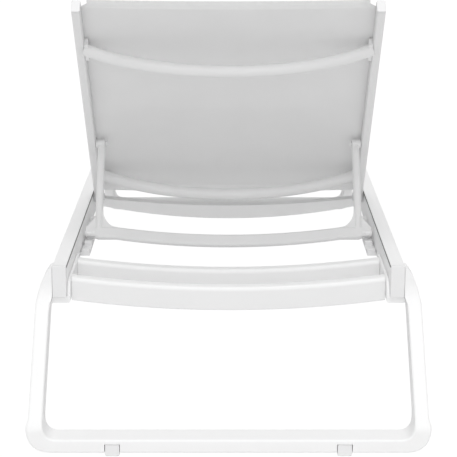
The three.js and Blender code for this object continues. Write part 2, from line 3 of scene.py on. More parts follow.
import bmesh
import bpy
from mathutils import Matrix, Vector


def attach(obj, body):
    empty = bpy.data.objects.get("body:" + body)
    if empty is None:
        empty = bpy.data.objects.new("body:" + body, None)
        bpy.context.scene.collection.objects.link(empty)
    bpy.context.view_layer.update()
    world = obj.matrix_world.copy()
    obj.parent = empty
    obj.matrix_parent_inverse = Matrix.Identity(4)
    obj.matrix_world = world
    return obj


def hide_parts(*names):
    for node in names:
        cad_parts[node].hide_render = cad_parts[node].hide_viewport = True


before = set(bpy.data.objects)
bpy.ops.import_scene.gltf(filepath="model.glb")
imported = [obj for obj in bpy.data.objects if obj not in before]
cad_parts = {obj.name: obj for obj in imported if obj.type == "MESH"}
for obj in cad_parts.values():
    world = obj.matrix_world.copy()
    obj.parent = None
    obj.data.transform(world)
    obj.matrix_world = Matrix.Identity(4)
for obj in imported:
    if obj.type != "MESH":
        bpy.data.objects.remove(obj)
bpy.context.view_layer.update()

# All dimensions below are in millimetres until build() turns them into metres.
MM = 0.001
HALF_PI = math.pi / 2
FULL_TURN = 2 * math.pi
SAME_POINT_M = 1e-6
BEVEL_FROM = math.radians(40)
SHARP_FROM = math.radians(38)

REAR = -794.0
RAIL_LENGTH = 1768.0
RAIL_TOP = 296.0
RAIL_BOTTOM = 237.5
RAIL_INNER = 295.5
RAIL_OUTER = 321.0
CAP_RIM = 10.0
GAP = 0.3
SLING_Z = 293.0
GROOVE_TOP = 294.4
GROOVE_BOTTOM = 289.2
GROOVE_RADIUS = 3.6
GROOVE_X = RAIL_INNER + 6.0
GROOVE_Z = 291.2
SPLINE_RADIUS = 3.2

LEG_OUTER = 351.5
LEG_INNER = 326.0
LEG_CORNER = 355.0
LEG_LEAN = 180.0
LEAN_TOP = 241.0
LEAN_FOOT = 51.0
BAND_DEPTH = 57.0
BAND_DEPTH_TOP = 34.0
LEG_TOP = 294.0
BAND_CORNER = 4.2
SNUG_CORNER = 0.6
SHOULDER_FOOT = 228.0
SHOULDER_STEP = 1.4
STRAIGHT_TOP = 214.0
BEND_TOP = 66.0
CORNER_MIDDLE = 50.0
INNER_BEND_END = 300.0
OUTER_BEND_END = 312.0
TAPER_START = 225.0
FLOOR_BAR_BOTTOM = 6.0
FLOOR_BAR_TOP = 30.0
FRONT_LEG_FACE = 1574.0
FOOT_X = 203.7
FOOT_WIDTH = 25.4
FOOT_HEIGHT = 21.2
POCKET_CLEARANCE = 1.0
POCKET_TOP = 22.0

SADDLE_X = 290.0
SADDLE_TOP = 264.0
SADDLE_LIP = 224.5
LIP_OUTER = 324.2
SADDLE_START = 8.5
SADDLE_END = 222.0
SADDLE_RISE = 32.0
SADDLE_FALL = 12.0
SADDLE_WALL_LOW = 238.6
BAR_TOP = 264.5
BAR_HEIGHT = 44.0
BAR_DEPTH = 31.0
BAR_BOW = 19.5
OUTER_BAR_O = 39.0
INNER_BAR_O = 163.0
SEAT_BAR_O = 781.0
FRONT_BAR_SETBACK = 70.0
SEAT_BAR_TOP = 247.6
SEAT_BAR_HEIGHT = 18.9
SEAT_BAR_BOW_TOP = 17.8
SEAT_BAR_BOW_BOTTOM = 30.0

HINGE_Y = REAR + 644.5
HINGE_Z = 280.6
RECLINE = math.radians(45.5)
BACK_INNER = 276.0
BACK_OUTER = 292.5
BACK_DEPTH = 27.5
BACK_LENGTH = 651.5
BACK_CAP = 3.5
BACK_GROOVE_T = -9.75
BACK_GROOVE_X = 281.2
BACK_GROOVE_RADIUS = 2.5
BACK_GROOVE_MOUTH = 1.0
BACK_GROOVE_START = 14.0
BACK_SPLINE_RADIUS = 2.2
PIVOT_S = 213.0
PIVOT_T = 6.0
UPPER_BAR_S = 535.0
LOWER_BAR_S = 106.0
BACK_BAR_RADIUS = 11.75
BACK_BAR_BOW = 52.0
FLANGE_LENGTH = 48.0
FLANGE_DROP = 7.0

PROP_LENGTH = 204.2
PROP_DROP = math.radians(52.3)
PROP_LEG_X = 264.0
PROP_LEG = 15.4
PROP_BAR = 25.0
PROP_BOW = 16.8
PROP_FLAT_END = 228.0
PROP_PLATE = 9.0
PROP_PLATE_FOOT = 7.0
PROP_PLATE_RISE = 42.0
PROP_PLATE_WIDTH = 30.0
PROP_PLATE_EAR = 21.0
PROP_END_X = 291.5
PROP_RIVET_X = 282.8
PROP_PIN = 6.0

RACK_INNER = 276.5
RACK_TOOTH_OUTER = 291.0
RACK_START = 289.0
RACK_BOTTOM = 240.0
RACK_FLOOR = 246.5
RACK_TOP = 252.5
RACK_RISE = 2.5
RACK_TALL_TOP = 265.5
RACK_PITCH = 56.0
RACK_TEETH = 5
RACK_LOW_TEETH = 3
RACK_TOOTH = 15.0

CLOTH_HALF = 0.3
HEM = 24.0
HEM_EXTRA = 0.1
HEM_SLOPE = 2.7
FOLD_LENGTH = 1.6
SEAT_SAG = 5.0
BACK_SAG = 4.0
HEAD_PROUD = 6.0
HEAD_NOTCH = 8.0
STITCH_LIFT = 0.42
STITCH_MARGIN = 22.0
STITCH_GAPS = 110
SEAT_START = 664.0
SEAT_END = RAIL_LENGTH - CAP_RIM - 6.0


# ---- Places on the two moving bodies ----------------------------------------------------

def on_back(x, s, t):
    """s runs up the backrest from its hinge and t runs to the rear of it."""
    y = HINGE_Y - s * math.cos(RECLINE) - t * math.sin(RECLINE)
    z = HINGE_Z + s * math.sin(RECLINE) - t * math.cos(RECLINE)
    return (x, y, z)


PIVOT = on_back(0, PIVOT_S, PIVOT_T)
SWING = HALF_PI - PROP_DROP


def on_prop(x, d, w):
    """d runs down the prop from its pivot and w runs across its thickness."""
    y = PIVOT[1] + w * math.cos(SWING) - d * math.sin(SWING)
    z = PIVOT[2] - w * math.sin(SWING) - d * math.cos(SWING)
    return (x, y, z)


# ---- Outlines ---------------------------------------------------------------------------

def fillet(corners, steps=4):
    """A closed outline through corners of (a, b, radius), each rounded to its radius."""
    outline = []
    count = len(corners)
    for i, (a, b, radius) in enumerate(corners):
        here = Vector((a, b))
        before = Vector(corners[i - 1][:2]) - here
        after = Vector(corners[(i + 1) % count][:2]) - here
        if radius <= 0:
            outline.append((a, b))
            continue
        angle = before.angle(after)
        reach = min(radius / math.tan(angle / 2), before.length * 0.49, after.length * 0.49)
        true_radius = reach * math.tan(angle / 2)
        start = here + before.normalized() * reach
        end = here + after.normalized() * reach
        bisector = (before.normalized() + after.normalized()).normalized()
        centre = here + bisector * (true_radius / math.sin(angle / 2))
        first = start - centre
        sweep = first.angle_signed(end - centre)
        for k in range(steps + 1):
            turn = -sweep * k / steps
            outline.append((
                centre.x + first.x * math.cos(turn) - first.y * math.sin(turn),
                centre.y + first.x * math.sin(turn) + first.y * math.cos(turn),
            ))
    return outline


def box_outline(a0, a1, b0, b1, radius, steps=4):
    """A rectangle with rounded corners."""
    return fillet([(a0, b0, radius), (a1, b0, radius), (a1, b1, radius), (a0, b1, radius)], steps)


def bezier(points, t):
    """The point at t on the Bezier curve through these control points."""
    points = [Vector(p) for p in points]
    while len(points) > 1:
        points = [p.lerp(q, t) for p, q in zip(points, points[1:])]
    return points[0]


def spaced(start, end, steps):
    """Evenly spaced values from start to end, one more than there are steps."""
    return [start + (end - start) * i / steps for i in range(steps + 1)]


# ---- Mesh making ------------------------------------------------------------------------

def loft(rings, closed=False):
    """Quads between successive rings of equal length, with flat ends unless the row is closed."""
    count = len(rings[0])
    points = [p for ring in rings for p in ring]
    faces = []
    last = len(rings) if closed else len(rings) - 1
    for i in range(last):
        a = i * count
        b = (i + 1) % len(rings) * count
        for j in range(count):
            k = (j + 1) % count
            faces.append((a + j, a + k, b + k, b + j))
    if not closed:
        faces.append(tuple(reversed(range(count))))
        faces.append(tuple(range(len(points) - count, len(points))))
    return points, faces


def prism(outline, place, low, high):
    """An outline of (a, b) extruded from low to high, where place(a, b, c) gives the point."""
    return loft([[place(a, b, c) for a, b in outline] for c in (low, high)])


def lathe(profile, place, steps=40):
    """A profile of (distance along the axis, radius), with place(along, across, up) in space."""
    rings = []
    for along, radius in profile:
        rings.append([
            place(along, radius * math.cos(a), radius * math.sin(a))
            for a in spaced(0, FULL_TURN, steps)[:-1]
        ])
    return loft(rings)


def merged(*parts):
    points, faces = [], []
    for part_points, part_faces in parts:
        base = len(points)
        points += part_points
        faces += [tuple(base + i for i in face) for face in part_faces]
    return points, faces


def mirrored(part):
    points, faces = part
    return [(-x, y, z) for x, y, z in points], [tuple(reversed(face)) for face in faces]


def about_leg_centre(part):
    """The front end's copy of a rear piece: half a turn about the middle of the leg frames."""
    points, faces = part
    return [(-x, 2 * REAR + FRONT_LEG_FACE - y, z) for x, y, z in points], faces


def about_rail_centre(part):
    """The front end's copy of a rear piece: half a turn about the middle of the rails."""
    points, faces = part
    return [(-x, 2 * REAR + RAIL_LENGTH - y, z) for x, y, z in points], faces


def mesh_of(name, part, bevel=0.0):
    """A mesh in metres, its sharp edges rounded by bevel millimetres."""
    points, faces = part
    work = bmesh.new()
    verts = [work.verts.new(Vector(p) * MM) for p in points]
    for face in faces:
        work.faces.new([verts[i] for i in face])
    bmesh.ops.remove_doubles(work, verts=work.verts, dist=SAME_POINT_M)
    bmesh.ops.recalc_face_normals(work, faces=work.faces)
    if bevel > 0:
        sharp = [e for e in work.edges if e.is_manifold and e.calc_face_angle(0) > BEVEL_FROM]
        bmesh.ops.bevel(
            work, geom=sharp, offset=bevel * MM, offset_type="OFFSET", segments=3,
            profile=0.5, affect="EDGES", clamp_overlap=True,
        )
    mesh = bpy.data.meshes.new(name)
    work.to_mesh(mesh)
    work.free()
    return mesh


def smooth_shading(piece):
    for polygon in piece.data.polygons:
        polygon.use_smooth = True
    piece.data.set_sharp_from_angle(angle=SHARP_FROM)


def build(name, part, body, material, stands_for=(), bevel=0.0, cut=None):
    """Makes one visible piece that rides on a body and stands for CAD nodes."""
    piece = bpy.data.objects.new(name, mesh_of(name, part, bevel))
    bpy.context.scene.collection.objects.link(piece)
    if cut is not None:
        apply_cut(piece, cut)
    piece.data.materials.clear()
    piece.data.materials.append(material)
    smooth_shading(piece)
    even = piece.modifiers.new("even_normals", "WEIGHTED_NORMAL")
    even.keep_sharp = True
    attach(piece, body)
    if stands_for:
        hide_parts(*stands_for)
    return piece


def build_pair(name, part, body, material, stands_for, bevel=0.0, sides=("right", "left")):
    """A piece on the first side, where part is, and its mirror image on the second."""
    solids = (part, mirrored(part))
    return [
        build(f"{name}_{side}", solid, body, material, [f"{stands_for}_{side}"], bevel)
        for side, solid in zip(sides, solids)
    ]


def apply_cut(piece, cut):
    """cut is (operation, part): a solid to take away or to join on."""
    operation, part = cut
    tool_mesh = mesh_of("tool", part)
    tool = bpy.data.objects.new("tool", tool_mesh)
    bpy.context.scene.collection.objects.link(tool)
    step = piece.modifiers.new("join", "BOOLEAN")
    step.operation = operation
    step.solver = "EXACT"
    step.object = tool
    bpy.context.view_layer.update()
    depsgraph = bpy.context.evaluated_depsgraph_get()
    result = bpy.data.meshes.new_from_object(piece.evaluated_get(depsgraph))
    piece.modifiers.remove(step)
    old = piece.data
    piece.data = result
    bpy.data.meshes.remove(old)
    bpy.data.objects.remove(tool)
    bpy.data.meshes.remove(tool_mesh)


# ---- Materials --------------------------------------------------------------------------

GRAIN_SCALE = 2600.0
GRAIN_DEPTH_M = 0.00002
WEAVE_DEPTH_M = 0.00014
YARN_PITCH_ACROSS = 1.4
YARN_PITCH_ALONG = 1.25
OPEN_SHARE = 0.2


def new_material(name):
    material = bpy.data.materials.new(name)
    material.use_nodes = True
    tree = material.node_tree
    return material, tree, tree.nodes["Principled BSDF"]


def node(tree, kind, **values):
    made = tree.nodes.new(kind)
    for key, value in values.items():
        setattr(made, key, value)
    return made


def math_node(tree, operation, first, second=None, third=None):
    made = node(tree, "ShaderNodeMath", operation=operation)
    for index, value in enumerate((first, second, third)):
        if value is None:
            continue
        if isinstance(value, (int, float)):
            made.inputs[index].default_value = value
        else:
            tree.links.new(value, made.inputs[index])
    return made.outputs[0]


def colour_between(tree, factor, low, high):
    ramp = node(tree, "ShaderNodeValToRGB")
    ramp.color_ramp.elements[0].color = (*low, 1)
    ramp.color_ramp.elements[1].color = (*high, 1)
    tree.links.new(factor, ramp.inputs[0])
    return ramp.outputs[0]


def noise(tree, place, scale, detail=3.0, roughness=0.5):
    made = node(tree, "ShaderNodeTexNoise")
    made.inputs["Scale"].default_value = scale
    made.inputs["Detail"].default_value = detail
    made.inputs["Roughness"].default_value = roughness
    tree.links.new(place, made.inputs["Vector"])
    return made.outputs["Fac"]


def coated(name, low, high, roughness, skin_scale, skin_depth):
    """A painted or moulded surface: soft cloudy tone, an uneven skin and a fine grain.

    skin_scale is in features a metre and skin_depth in metres.
    """
    material, tree, shader = new_material(name)
    place = node(tree, "ShaderNodeTexCoord").outputs["Object"]
    cloud = noise(tree, place, 9.0, 4.0)
    tree.links.new(colour_between(tree, cloud, low, high), shader.inputs["Base Color"])
    patch = noise(tree, place, 40.0, 3.0)
    rough = math_node(tree, "MULTIPLY_ADD", patch, 0.12, roughness - 0.06)
    tree.links.new(rough, shader.inputs["Roughness"])
    skin = node(tree, "ShaderNodeBump")
    skin.inputs["Strength"].default_value = 0.35
    skin.inputs["Distance"].default_value = skin_depth
    tree.links.new(noise(tree, place, skin_scale, 2.0), skin.inputs["Height"])
    grain = node(tree, "ShaderNodeBump")
    grain.inputs["Strength"].default_value = 0.25
    grain.inputs["Distance"].default_value = GRAIN_DEPTH_M
    tree.links.new(noise(tree, place, GRAIN_SCALE, 1.0), grain.inputs["Height"])
    tree.links.new(skin.outputs[0], grain.inputs["Normal"])
    tree.links.new(grain.outputs[0], shader.inputs["Normal"])
    return material


def woven(name, turn, low, high):
    """Plain weave of coated yarn with open corners, in the plane that a turn about X lays flat."""
    material, tree, shader = new_material(name)
    place = node(tree, "ShaderNodeTexCoord").outputs["Object"]
    flat = node(tree, "ShaderNodeMapping")
    flat.inputs["Rotation"].default_value = (turn, 0, 0)
    tree.links.new(place, flat.inputs["Vector"])
    split = node(tree, "ShaderNodeSeparateXYZ")
    tree.links.new(flat.outputs[0], split.inputs[0])
    across = math_node(tree, "MULTIPLY", split.outputs[0], math.pi / (YARN_PITCH_ACROSS * MM))
    along = math_node(tree, "MULTIPLY", split.outputs[1], math.pi / (YARN_PITCH_ALONG * MM))
    sine_across = math_node(tree, "SINE", across)
    sine_along = math_node(tree, "SINE", along)
    warp = math_node(tree, "ABSOLUTE", sine_across)
    weft = math_node(tree, "ABSOLUTE", sine_along)
    sign_across = math_node(tree, "SIGN", sine_across)
    sign_along = math_node(tree, "SIGN", sine_along)
    over = math_node(tree, "MULTIPLY", sign_across, sign_along)
    lift = math_node(tree, "MULTIPLY", over, 0.5)
    warp_height = math_node(tree, "MULTIPLY", warp, math_node(tree, "ADD", lift, 1.0))
    weft_height = math_node(tree, "MULTIPLY", weft, math_node(tree, "SUBTRACT", 1.0, lift))
    height = math_node(tree, "MAXIMUM", warp_height, weft_height)
    bump = node(tree, "ShaderNodeBump")
    bump.inputs["Strength"].default_value = 0.5
    bump.inputs["Distance"].default_value = WEAVE_DEPTH_M
    tree.links.new(height, bump.inputs["Height"])
    tree.links.new(bump.outputs[0], shader.inputs["Normal"])
    yarn = math_node(tree, "MAXIMUM", warp, weft)
    edge = math.sqrt(OPEN_SHARE)
    solid = math_node(tree, "GREATER_THAN", yarn, math.sin(edge * HALF_PI))
    tree.links.new(solid, shader.inputs["Alpha"])
    # The yarn colour darkens where the weave's height drops: painted shade in the weave's hollows, on top
    # of a random tone.
    painted_hollow_shade = math_node(tree, "MULTIPLY", height, 0.5)
    tone = math_node(tree, "MULTIPLY_ADD", noise(tree, place, 14.0, 3.0), 0.4, painted_hollow_shade)
    tree.links.new(colour_between(tree, tone, low, high), shader.inputs["Base Color"])
    shader.inputs["Roughness"].default_value = 0.62
    shader.inputs["Sheen Weight"].default_value = 0.15
    shader.inputs["Sheen Roughness"].default_value = 0.5
    return material


powder = coated("white_powder_coat", (0.92, 0.92, 0.922), (0.95, 0.95, 0.95), 0.42, 700.0, 0.00006)
# The crossbars take a darker copy of the white frame paint: painted shade for bars that sit in the shade
# under the rails and the backrest.
bar_powder_with_painted_shade = coated("crossbar_paint_with_painted_shade", (0.86, 0.86, 0.862), (0.89, 0.89, 0.89), 0.4, 700.0, 0.00006)
# The backrest, the prop and their bolts take a darker copy of the white frame paint: painted shade for the
# parts behind and under the leaning backrest.
back_powder_with_painted_shade = coated("backrest_paint_with_painted_shade", (0.76, 0.76, 0.762), (0.8, 0.8, 0.8), 0.42, 700.0, 0.00006)
# Dark paint for the faces inside the rails' groove: painted shade in the groove's recess.
groove_painted_shade = coated("painted_groove_shade", (0.26, 0.26, 0.26), (0.34, 0.34, 0.34), 0.6, 900.0, 0.00003)
moulded = coated("white_moulded_plastic", (0.83, 0.83, 0.835), (0.87, 0.87, 0.872), 0.5, 420.0, 0.00004)
cord_skin = coated("edge_cord", (0.6, 0.6, 0.6), (0.66, 0.66, 0.66), 0.6, 900.0, 0.00005)
steel = coated("satin_steel", (0.55, 0.56, 0.57), (0.66, 0.67, 0.68), 0.34, 1500.0, 0.00002)
steel.node_tree.nodes["Principled BSDF"].inputs["Metallic"].default_value = 1.0
thread = coated("sewing_thread", (0.78, 0.78, 0.78), (0.86, 0.86, 0.86), 0.7, 3000.0, 0.00008)
seat_weave = woven("seat_mesh", 0.0, (0.78, 0.78, 0.78), (0.87, 0.87, 0.87))
back_weave = woven("backrest_mesh", RECLINE, (0.78, 0.78, 0.78), (0.87, 0.87, 0.87))


# ---- Side rails -------------------------------------------------------------------------

def straight(a, b, c):
    return (a, c, b)


def sideways(a, b, c):
    return (c, a, b)


def rail_outline():
    first = math.pi - math.asin((GROOVE_TOP - GROOVE_Z) / GROOVE_RADIUS)
    last = -math.pi - math.asin((GROOVE_BOTTOM - GROOVE_Z) / GROOVE_RADIUS)
    groove = [
        (GROOVE_X + GROOVE_RADIUS * math.cos(a), GROOVE_Z + GROOVE_RADIUS * math.sin(a))
        for a in spaced(first, last, 20)
    ]
    box = fillet([
        (RAIL_INNER, GROOVE_BOTTOM, 0.3),
        (RAIL_INNER, RAIL_BOTTOM, 2.2),
        (RAIL_OUTER, RAIL_BOTTOM, 3.0),
        (RAIL_OUTER, RAIL_TOP, 1.8),
        (RAIL_INNER, RAIL_TOP, 1.2),
        (RAIL_INNER, GROOVE_TOP, 0.3),
        (GROOVE_X, GROOVE_TOP, 0),
        (GROOVE_X, GROOVE_BOTTOM, 0),
    ], 5)[:-2]
    return box + groove


rail = prism(rail_outline(), straight, REAR + CAP_RIM + GAP, REAR + RAIL_LENGTH - CAP_RIM - GAP)
rear_cap = prism(
    box_outline(RAIL_INNER, RAIL_OUTER, RAIL_BOTTOM, RAIL_TOP, 1.4, 5), straight, REAR, REAR + CAP_RIM)
groove_depth = GROOVE_X - RAIL_INNER + GROOVE_RADIUS
# Faces inside the groove take the dark paint, which paints in the shade of the recess.
for piece in build_pair("rail", rail, "frame", powder, "side_rail"):
    piece.data.materials.append(groove_painted_shade)
    for polygon in piece.data.polygons:
        spot = polygon.center / MM
        inside = 1 < abs(spot.x) - RAIL_INNER < groove_depth + 0.4
        beside = abs(spot.z - GROOVE_Z) < GROOVE_RADIUS + 0.2
        faces_out = abs(polygon.normal.y) < 0.5
        if inside and beside and faces_out:
            polygon.material_index = 1
build_pair("cap_rear", rear_cap, "frame", moulded, "rail_end_cap_rear", 1.1)
build_pair("cap_front", about_rail_centre(rear_cap), "frame", moulded,
           "rail_end_cap_front", 1.1, ("left", "right"))


# ---- Leg loops --------------------------------------------------------------------------

def soft_step(u, start=0.14, end=0.05):
    """0 below 0, u between, 1 above 1, with both bends rounded over their own widths."""
    def knee(v, softness):
        if v <= -softness:
            return 0.0
        if v >= softness:
            return v
        return (v + softness) ** 2 / (4 * softness)
    return knee(u, start) - knee(u - 1, end)


def lean(z):
    """How far the band has leaned outwards at a height."""
    return LEG_LEAN * soft_step((LEAN_TOP - z) / (LEAN_TOP - LEAN_FOOT))


def band_depth(z):
    """The band's size along the lounger, which tapers towards its top."""
    share = min(1.0, max(0.0, (z - TAPER_START) / (RAIL_TOP - TAPER_START)))
    return BAND_DEPTH + (BAND_DEPTH_TOP - BAND_DEPTH) * share


def shoulder_inner(z):
    """The band's inner face: against the rail above its lower edge, a step out just below it."""
    face = RAIL_OUTER + GAP
    step = LEG_INNER - SHOULDER_STEP
    if z > SHOULDER_FOOT:
        share = min(1.0, (z - SHOULDER_FOOT) / 11)
        return step + (face - step) * share ** 2 * (3 - 2 * share)
    return LEG_INNER - SHOULDER_STEP * max(0.0, (z - STRAIGHT_TOP) / (SHOULDER_FOOT - STRAIGHT_TOP))


def band_pairs():
    """Inner and outer points of the band, from the rail top down to the middle of the floor bar."""
    pairs = []
    shoulder = [(RAIL_OUTER + GAP + 2.6, LEG_TOP), (336, 282), (345.5, 259), (LEG_OUTER, SHOULDER_FOOT)]
    for t in spaced(0, 1, 28):
        outer = bezier(shoulder, t)
        pairs.append(((shoulder_inner(outer.y), outer.y), tuple(outer)))
    for z in spaced(SHOULDER_FOOT, STRAIGHT_TOP, 4)[1:]:
        pairs.append(((shoulder_inner(z), z), (LEG_OUTER, z)))
    for z in spaced(STRAIGHT_TOP, BEND_TOP, 16)[1:]:
        pairs.append(((LEG_INNER, z), (LEG_OUTER, z)))
    inner_bend = [
        (LEG_INNER, BEND_TOP), (LEG_INNER, 42), (320, FLOOR_BAR_TOP), (INNER_BEND_END, FLOOR_BAR_TOP),
    ]
    flare = [(LEG_OUTER, BEND_TOP), (LEG_OUTER, 61), (LEG_CORNER, 58), (LEG_CORNER, CORNER_MIDDLE)]
    outer_bend = [
        (LEG_CORNER, CORNER_MIDDLE), (LEG_CORNER, 22),
        (340, FLOOR_BAR_BOTTOM), (OUTER_BEND_END, FLOOR_BAR_BOTTOM),
    ]
    flare_share = 0.25
    for t in spaced(0, 1, 22)[1:]:
        inner = bezier(inner_bend, t)
        if t < flare_share:
            outer = bezier(flare, t / flare_share)
        else:
            outer = bezier(outer_bend, (t - flare_share) / (1 - flare_share))
        pairs.append((tuple(inner), tuple(outer)))
    for share in spaced(1, 0, 8)[1:]:
        pairs.append(((INNER_BEND_END * share, FLOOR_BAR_TOP), (OUTER_BEND_END * share, FLOOR_BAR_BOTTOM)))
    return pairs


def leg_loop():
    """The whole band, its edges nearly sharp where it lies against the rail."""
    right = band_pairs()
    left = [((-p[0], p[1]), (-q[0], q[1])) for p, q in reversed(right[:-1])]
    rings = []
    for inner, outer in right + left:
        inner, outer = Vector(inner), Vector(outer)
        across = outer - inner
        thick = across.length
        radius = min(BAND_CORNER, 0.4 * thick)
        beside_rail = min(1.0, max(0.0, (inner.y - 226) / 10))
        snug = min(radius, BAND_CORNER - (BAND_CORNER - SNUG_CORNER) * beside_rail)
        ring = []
        for u, v in fillet([
            (0, 0, snug), (thick, 0, radius), (thick, BAND_DEPTH, radius), (0, BAND_DEPTH, snug),
        ]):
            spot = inner + across * (u / thick)
            z = spot.y
            ring.append((spot.x, REAR + v / BAND_DEPTH * band_depth(z) - lean(z), z))
        rings.append(ring)
    return loft(rings)


def brick(x0, x1, y0, y1, z0, z1):
    return prism([(x0, z0), (x1, z0), (x1, z1), (x0, z1)], straight, y0, y1)


loop = leg_loop()
half_foot = FOOT_WIDTH / 2
floor_bar_y = REAR - LEG_LEAN
pocket = brick(FOOT_X - half_foot - POCKET_CLEARANCE, FOOT_X + half_foot + POCKET_CLEARANCE,
               floor_bar_y - 20, floor_bar_y + 80, -5, POCKET_TOP)
pockets = merged(mirrored(pocket), pocket)
build("leg_loop_rear", loop, "frame", powder, ["leg_frame_rear"], 1.2,
      cut=("DIFFERENCE", pockets))
build("leg_loop_front", about_leg_centre(loop), "frame", powder, ["leg_frame_front"], 1.2,
      cut=("DIFFERENCE", about_leg_centre(pockets)))

foot_outline = fillet([
    (FOOT_X - half_foot, 0, 3.4),
    (FOOT_X + half_foot, 0, 3.4),
    (FOOT_X + half_foot, FOOT_HEIGHT, 2.0),
    (FOOT_X - half_foot, FOOT_HEIGHT, 2.0),
], 5)
foot = prism(foot_outline, straight, floor_bar_y + 0.5, floor_bar_y + BAND_DEPTH - 0.5)
build_pair("foot_rear", foot, "frame", moulded, "glide_foot_rear", 1.3)
build_pair("foot_front", about_leg_centre(foot), "frame", moulded,
           "glide_foot_front", 1.3, ("left", "right"))


# ---- Saddles ----------------------------------------------------------------------------

def saddle_top(o):
    """The height of the wall's top at a distance o from the rails' rear ends."""
    rise = [(SADDLE_START, 230), (SADDLE_START + 4, 260), (SADDLE_START + SADDLE_RISE, SADDLE_TOP)]
    fall = [
        (SADDLE_END - SADDLE_FALL, SADDLE_TOP), (SADDLE_END, SADDLE_TOP),
        (SADDLE_END, SADDLE_TOP - SADDLE_FALL),
    ]
    for curve in (rise, fall):
        if curve[0][0] <= o <= curve[-1][0]:
            points = [bezier(curve, t) for t in spaced(0, 1, 200)]
            nearest = min(points, key=lambda point: abs(point.x - o))
            return max(SADDLE_WALL_LOW, nearest.y)
    return SADDLE_TOP


def saddle():
    stations = [SADDLE_START + d for d in (0, 1, 2, 3.5, 5, 7, 10, 14, 19, 25, 32)]
    stations += spaced(SADDLE_START + SADDLE_RISE, SADDLE_END - SADDLE_FALL, 6)[1:]
    stations += [SADDLE_END - d for d in (10, 8, 6, 4, 2.5, 1.2, 0.5, 0)]
    outer = RAIL_INNER - GAP
    lip = RAIL_BOTTOM - GAP
    rings = []
    for o in stations:
        outline = fillet([
            (SADDLE_X, SADDLE_LIP, 3.0),
            (LIP_OUTER, SADDLE_LIP, 1.0),
            (LIP_OUTER, SADDLE_LIP + 4, 1.0),
            (RAIL_OUTER - 0.1, lip, 1.2),
            (outer, lip, 0.2),
            (outer, saddle_top(o), 0.6),
            (SADDLE_X, saddle_top(o), 1.8),
        ])
        rings.append([(x, REAR + o, z) for x, z in outline])
    return loft(rings)


rear_saddle = saddle()
build_pair("saddle_rear", rear_saddle, "frame", powder, "rail_saddle_rear", 0.8)
build_pair("saddle_front", about_leg_centre(rear_saddle), "frame", powder,
           "rail_saddle_front", 0.8, ("left", "right"))


# ---- Crossbars --------------------------------------------------------------------------

def bowed_bar(o, half, top, height, bow_top, bow_bottom, corner):
    """A bar across the lounger at a distance o from the rails' rear ends, hanging lower in its middle."""
    rings = []
    for x in spaced(-half, half, 48):
        share = 1 - (x / half) ** 2
        low, high = top - height - bow_bottom * share, top - bow_top * share
        outline = fillet([
            (o, low, 3.0), (o + BAR_DEPTH, low, 3.0), (o + BAR_DEPTH, high, corner), (o, high, corner),
        ], 8)
        rings.append([(x, REAR + y, z) for y, z in outline])
    return loft(rings)


# The four crossbars take the darker copy of the frame paint, which paints in their shade.
for bar, o, half in (
    ("rear_outer_crossbar", OUTER_BAR_O, SADDLE_X - GAP),
    ("rear_inner_crossbar", INNER_BAR_O, SADDLE_X - GAP),
    ("front_inner_crossbar", FRONT_LEG_FACE - FRONT_BAR_SETBACK - BAR_DEPTH, SADDLE_X - GAP),
    ("front_outer_crossbar", RAIL_LENGTH - OUTER_BAR_O - BAR_DEPTH, RAIL_INNER - GAP),
):
    bowed = bowed_bar(o, half, BAR_TOP, BAR_HEIGHT, BAR_BOW, BAR_BOW, 8.0)
    build(bar.replace("crossbar", "bar"), bowed, "frame", bar_powder_with_painted_shade, [bar], 0.3)

seat_bar = bowed_bar(
    SEAT_BAR_O, RAIL_INNER - GAP, SEAT_BAR_TOP, SEAT_BAR_HEIGHT, SEAT_BAR_BOW_TOP, SEAT_BAR_BOW_BOTTOM, 2.0)
build("seat_bar", seat_bar, "frame", powder, ["seat_crossbar"], 0.3)


# ---- Prop racks -------------------------------------------------------------------------

def rack():
    """A base plate with block teeth, whose rear faces stand upright."""
    start = REAR + RACK_START
    end = start + (RACK_TEETH - 1) * RACK_PITCH + RACK_TOOTH
    base = box_outline(start, end, RACK_BOTTOM, RACK_FLOOR, 1.0)
    solids = [prism(base, sideways, RACK_INNER, RAIL_INNER - GAP)]
    for i in range(RACK_TEETH):
        y = start + i * RACK_PITCH
        top = RACK_TOP + i * RACK_RISE if i < RACK_LOW_TEETH else RACK_TALL_TOP
        tooth = fillet([
            (y, RACK_FLOOR - 2, 0),
            (y + RACK_TOOTH + 3, RACK_FLOOR - 2, 0),
            (y + RACK_TOOTH + 3, RACK_FLOOR + 0.2, 0),
            (y + RACK_TOOTH, RACK_FLOOR + 3.2, 2.5),
            (y + RACK_TOOTH, top, 2.2),
            (y, top, 1.4),
        ])
        solids.append(prism(tooth, sideways, RACK_INNER, RACK_TOOTH_OUTER))
    return solids


def build_rack(side, solids):
    build(f"rack_{side}", solids[0], "frame", moulded, [f"prop_rack_{side}"], 0.6,
          cut=("UNION", merged(*solids[1:])))


build_rack("right", rack())
build_rack("left", [mirrored(solid) for solid in rack()])


# ---- Slings -----------------------------------------------------------------------------

